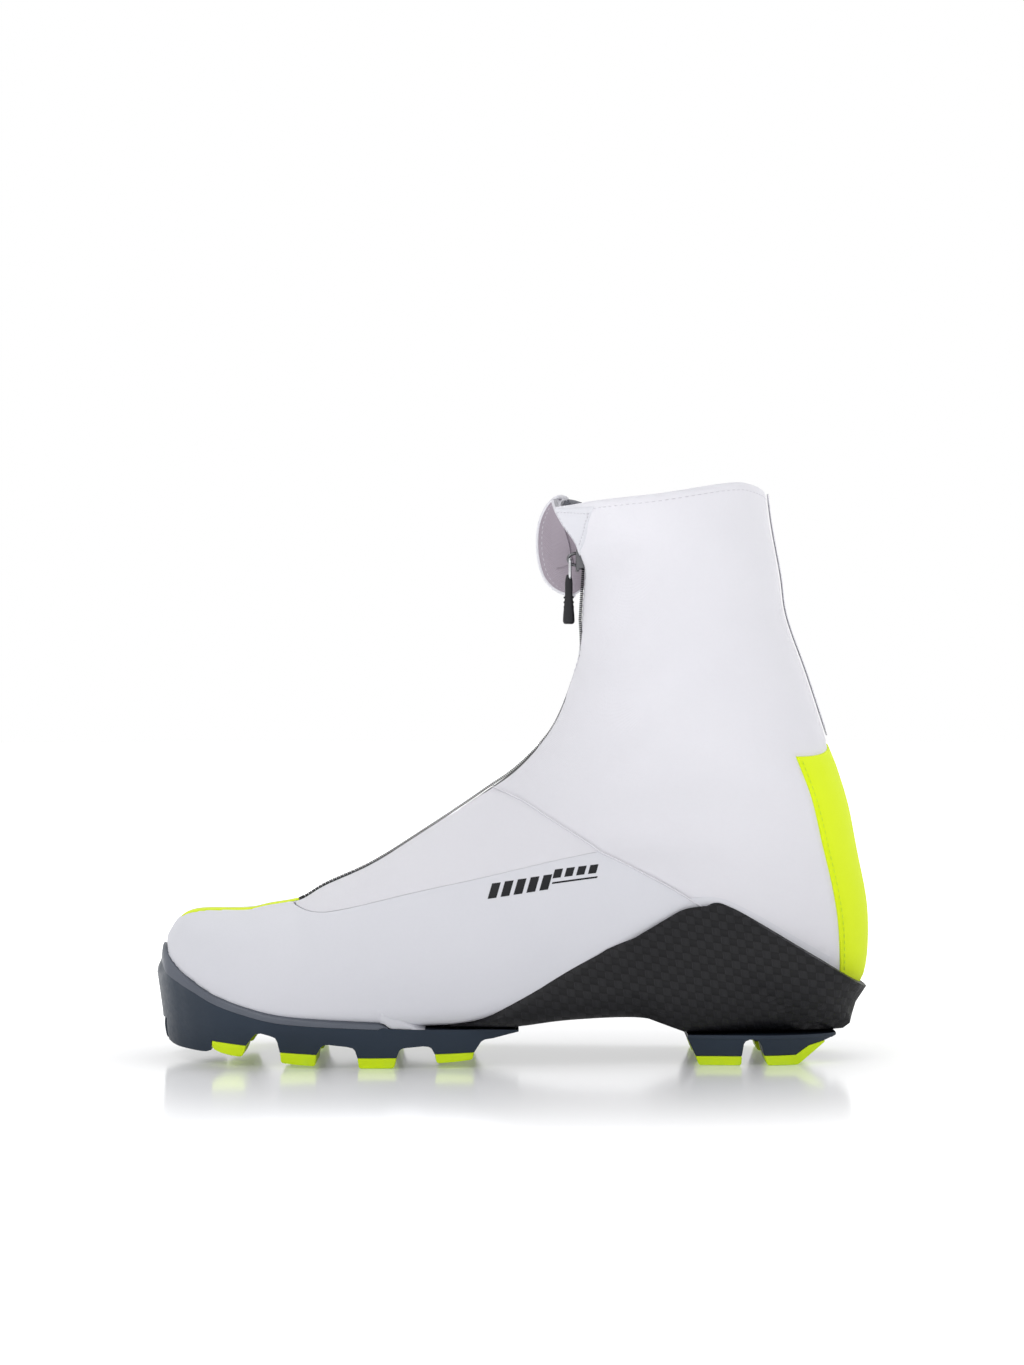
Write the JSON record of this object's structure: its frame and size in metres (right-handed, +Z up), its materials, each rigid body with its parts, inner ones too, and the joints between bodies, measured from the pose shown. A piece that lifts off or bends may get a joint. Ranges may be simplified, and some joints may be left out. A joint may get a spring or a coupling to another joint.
{
  "type": "cross country boot",
  "caption": "High cut nordic ski boot with zipped softshell cover, carbon heel cup, lugged sole with toe bar, and hinged collar flap.",
  "frame": {"origin": "on the ground, under the middle of the boot", "axes": "+Z up, -X to the toe, +X to the heel, -Y lateral side, +Y medial side"},
  "size_m": [0.2844, 0.0952, 0.2271],
  "materials": {
    "slate_rubber": "matte moulded TPU",
    "neon_rubber": "matte moulded rubber",
    "bright_steel": "satin",
    "zip_metal": "satin black",
    "carbon_weave": "clear coated carbon weave",
    "overlay_fabric": "smooth coated softshell",
    "cover_fabric": "matte softshell",
    "tape_fabric": "woven",
    "zip_plastic": "moulded",
    "neon_webbing": "woven",
    "grip_rubber": "matte",
    "hook_fabric": "hook tape",
    "liner_fabric": "knitted fleece",
    "stiffener_board": "thermoplastic sheet",
    "board": "fibre board",
    "footbed_foam": "fabric faced foam"
  },
  "bodies": {
    "boot": {"front_outsole": "slate_rubber", "heel_outsole": "slate_rubber", "toe_bar": "bright_steel", "carbon_chassis": "carbon_weave", "vamp_panel_lateral": "overlay_fabric", "vamp_panel_medial": "overlay_fabric", "instep_panel_lateral": "cover_fabric", "instep_panel_medial": "cover_fabric", "shaft_panel_lateral": "cover_fabric", "shaft_panel_medial": "cover_fabric", "zip_tape_lateral": "tape_fabric", "zip_tape_medial": "tape_fabric", "lace_facing_lateral": "stiffener_board", "lace_facing_medial": "stiffener_board", "toe_strip": "neon_webbing", "heel_strip": "neon_webbing", "zip_chain": "zip_plastic", "zip_bottom_stop": "zip_plastic", "collar_corner_patch": "overlay_fabric", "liner": "liner_fabric", "tongue": "liner_fabric", "toe_puff": "stiffener_board", "heel_counter": "stiffener_board", "insole_board": "board", "footbed": "footbed_foam", "ball_tread_lateral_1": "neon_rubber", "ball_tread_lateral_2": "neon_rubber", "ball_tread_lateral_3": "neon_rubber", "ball_tread_lateral_4": "neon_rubber", "heel_tread_lateral_1": "neon_rubber", "heel_tread_lateral_2": "neon_rubber", "ball_tread_medial_1": "neon_rubber", "ball_tread_medial_2": "neon_rubber", "ball_tread_medial_3": "neon_rubber", "ball_tread_medial_4": "neon_rubber", "heel_tread_medial_1": "neon_rubber", "heel_tread_medial_2": "neon_rubber"},
    "slider": {"zip_slider": "zip_metal"},
    "pull": {"pull_link": "bright_steel", "pull_grip": "grip_rubber"},
    "flap": {"collar_flap": "cover_fabric", "flap_hook_patch": "hook_fabric"}
  },
  "joints": [
    {"name": "zip_slide", "type": "slide", "parent": "boot", "child": "slider", "axis": [-0.0521, 0, -0.9986], "range_m": [0, 0.016]},
    {"name": "pull_swing", "type": "hinge", "parent": "slider", "child": "pull", "pos_m": [0.02319, -0.00055, 0.19829], "axis": [0, 1, 0], "range_deg": [0, 170]},
    {"name": "flap_fold", "type": "hinge", "parent": "boot", "child": "flap", "pos_m": [0.02655, 0.01195, 0.1856], "axis": [-0.2111, 0.0264, 0.9771], "range_deg": [-50, 75]}
  ]
}
